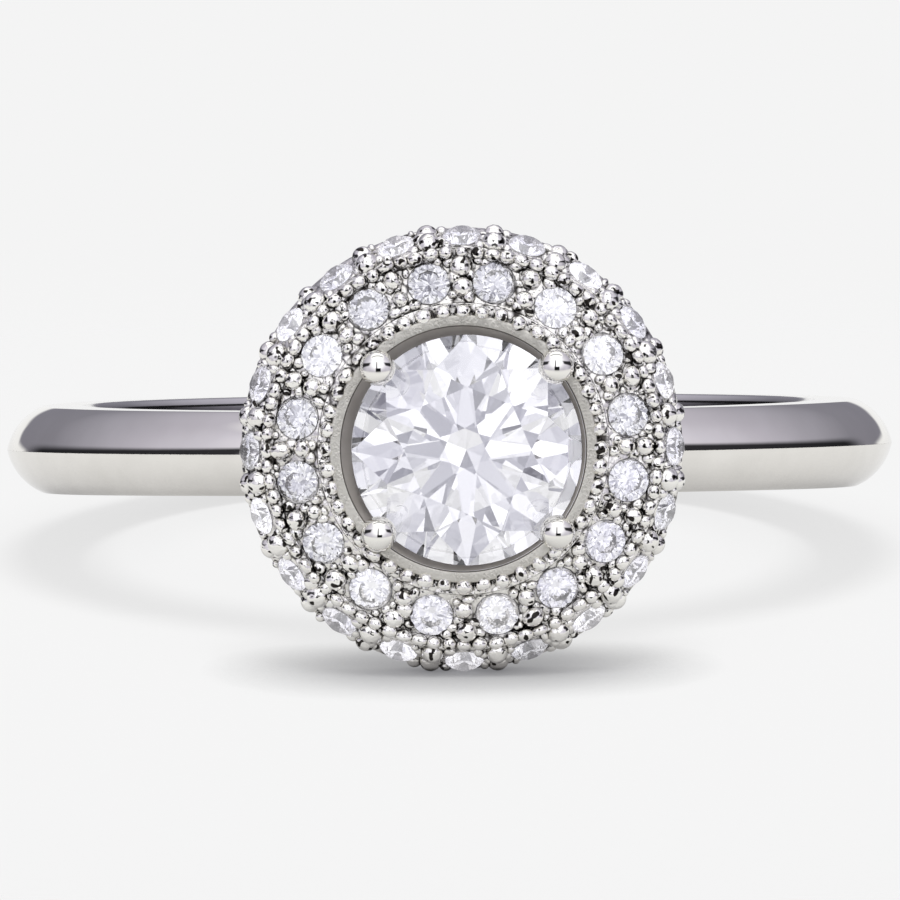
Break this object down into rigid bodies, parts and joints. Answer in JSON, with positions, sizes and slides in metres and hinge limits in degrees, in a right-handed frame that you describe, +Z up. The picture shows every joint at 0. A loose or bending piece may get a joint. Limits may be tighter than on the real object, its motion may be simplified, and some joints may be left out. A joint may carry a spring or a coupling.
{
  "type": "halo ring",
  "caption": "Finger ring with a knife-edge band and a domed round head: a round brilliant in four ball prongs inside a double pave halo with grain lines.",
  "frame": {"origin": "middle of the underside of the whole ring's box, on the surface that the ring rests on", "axes": "+Z up from that surface, -Y out of the head's front, +X to the right as the head is looked at; the finger hole's axis leans 10.0 degrees from +Z towards +Y"},
  "size_m": [0.0202, 0.0234, 0.0096],
  "materials": {
    "white_gold": "polished white gold, rhodium bright",
    "center_gem": "clear cut stone, polished facets",
    "halo_gem": "clear cut stone, polished facets"
  },
  "bodies": {
    "root": {"metal_ring": "white_gold", "center_stone": "center_gem", "inner_stone_01": "halo_gem", "inner_stone_02": "halo_gem", "inner_stone_03": "halo_gem", "inner_stone_04": "halo_gem", "inner_stone_05": "halo_gem", "inner_stone_06": "halo_gem", "inner_stone_07": "halo_gem", "inner_stone_08": "halo_gem", "inner_stone_09": "halo_gem", "inner_stone_10": "halo_gem", "inner_stone_11": "halo_gem", "inner_stone_12": "halo_gem", "inner_stone_13": "halo_gem", "inner_stone_14": "halo_gem", "inner_stone_15": "halo_gem", "inner_stone_16": "halo_gem", "outer_stone_01": "halo_gem", "outer_stone_02": "halo_gem", "outer_stone_03": "halo_gem", "outer_stone_04": "halo_gem", "outer_stone_05": "halo_gem", "outer_stone_06": "halo_gem", "outer_stone_07": "halo_gem", "outer_stone_08": "halo_gem", "outer_stone_09": "halo_gem", "outer_stone_10": "halo_gem", "outer_stone_11": "halo_gem", "outer_stone_12": "halo_gem", "outer_stone_13": "halo_gem", "outer_stone_14": "halo_gem", "outer_stone_15": "halo_gem", "outer_stone_16": "halo_gem", "outer_stone_17": "halo_gem", "outer_stone_18": "halo_gem", "outer_stone_19": "halo_gem", "outer_stone_20": "halo_gem"}
  },
  "joints": []
}
